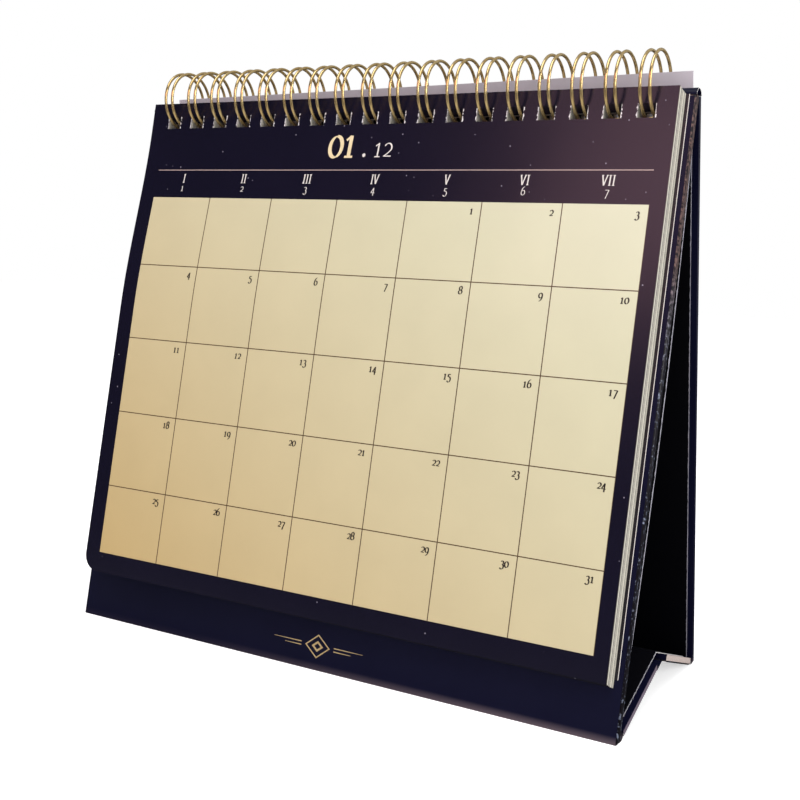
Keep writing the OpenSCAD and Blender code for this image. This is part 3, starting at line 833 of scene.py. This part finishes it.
for polygon in wire.data.polygons:
    polygon.use_smooth = len(polygon.vertices) == 4
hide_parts("binding_wire")
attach(wire, "stand_front")


# ---- Studio ----
# A pale floor that runs on into a white backdrop, soft lamps in front, above and at the right, and a dim
# room behind the camera. The front lamp gives the leaf the warm sheen at its upper right, the low one the
# bright lines along the wire.
world = bpy.data.worlds.new("studio")
scene.world = world
world.use_nodes = True
tree = world.node_tree
tree.nodes.clear()
path = add(tree, "LightPath")
look = add(tree, "TexCoord")
aim = add(tree, "SeparateXYZ", {"Vector": look.outputs["Generated"]})
room = add(tree, "MapRange",
           {"Value": aim.outputs["Y"], "From Min": -0.4, "From Max": 0.4, "To Min": 0.05, "To Max": 0.3})
seen = add(tree, "Math", {0: path.outputs["Is Camera Ray"], 1: path.outputs["Is Transmission Ray"]},
           operation="MAXIMUM")
diffuse = add(tree, "Background", {"Color": linear("#ffffff"), "Strength": 0.6})
mirrored = add(tree, "Background", {"Color": linear("#ffffff"), "Strength": room.outputs["Result"]})
backdrop = add(tree, "Background", {"Color": linear("#ffffff"), "Strength": 1})
lit = add(tree, "MixShader",
          {0: path.outputs["Is Glossy Ray"], 1: diffuse.outputs[0], 2: mirrored.outputs[0]})
shown = add(tree, "MixShader", {0: seen.outputs[0], 1: lit.outputs[0], 2: backdrop.outputs[0]})
add(tree, "OutputWorld", {"Surface": shown.outputs[0]})

# Floor: pale matt card, which shows white and keeps the soft shadow under the stand. In reflections it is
# dim, apart from a bright stretch just in front of the stand that lights the wire from below.
stretch_y, stretch_half, stretch_fade = -0.15, 0.05, 0.1
floor_paint, tree = new_material("pale_card_floor")
path = add(tree, "LightPath")
card = add(tree, "BsdfDiffuse", {"Color": linear("#f2f2f2")})
glow = add(tree, "Emission", {"Color": linear("#ffffff"), "Strength": 0.55})
bright = add(tree, "AddShader", {0: card.outputs[0], 1: glow.outputs[0]})
spot = add(tree, "NewGeometry")
across = add(tree, "SeparateXYZ", {"Vector": spot.outputs["Position"]})
ahead = add(tree, "Math", {0: across.outputs["Y"], 1: -stretch_y}, operation="ADD")
off = add(tree, "Math", {0: ahead.outputs[0]}, operation="ABSOLUTE")
stretch = add(tree, "MapRange",
              {"Value": off.outputs[0], "From Min": stretch_half, "From Max": stretch_fade, "To Min": 0.6,
               "To Max": 0.05})
dim = add(tree, "Emission", {"Color": linear("#ffffff"), "Strength": stretch.outputs["Result"]})
mirrored = add(tree, "MixShader", {0: path.outputs["Is Glossy Ray"], 1: card.outputs[0], 2: dim.outputs[0]})
shown = add(tree, "MixShader",
            {0: path.outputs["Is Camera Ray"], 1: mirrored.outputs[0], 2: bright.outputs[0]})
add(tree, "OutputMaterial", {"Surface": shown.outputs[0]})
floor_m = 2.5
floor_ways = ((-1, -1), (1, -1), (1, 1), (-1, 1))
floor = new_piece("floor", [(floor_m * x, floor_m * y, 0) for x, y in floor_ways], [(0, 1, 2, 3)],
                  (floor_paint,))

# The two lamps in front are aimed level, the others at the stand
front_row, aim_height = -0.9, 0.1
for name, position, wide, tall, watts, tint in (
        ("front_softbox", (-0.09, -0.95, 0.65), 0.6, 0.36, 2, "#ffc4ce"),
        ("low_softbox", (0.45, -0.95, 0.22), 0.6, 0.45, 1.3, "#ffffff"),
        ("overhead_softbox", (0.1, -0.3, 1.2), 0.8, 0.8, 6, "#ffffff"),
        ("side_softbox", (1, -0.14, 0.42), 0.5, 0.5, 5.6, "#ffffff")):
    lamp = bpy.data.objects.new(name, bpy.data.lights.new(name, "AREA"))
    lamp.data.shape = "RECTANGLE"
    lamp.data.color = linear(tint)[:3]
    lamp.data.size, lamp.data.size_y, lamp.data.energy = wide, tall, watts
    lamp.location = position
    level_aim = Vector((lamp.location.x, 0, lamp.location.z))
    aim = level_aim if position[1] < front_row else Vector((0, 0, aim_height))
    lamp.rotation_euler = (aim - lamp.location).to_track_quat("-Z", "Y").to_euler()
    scene.collection.objects.link(lamp)
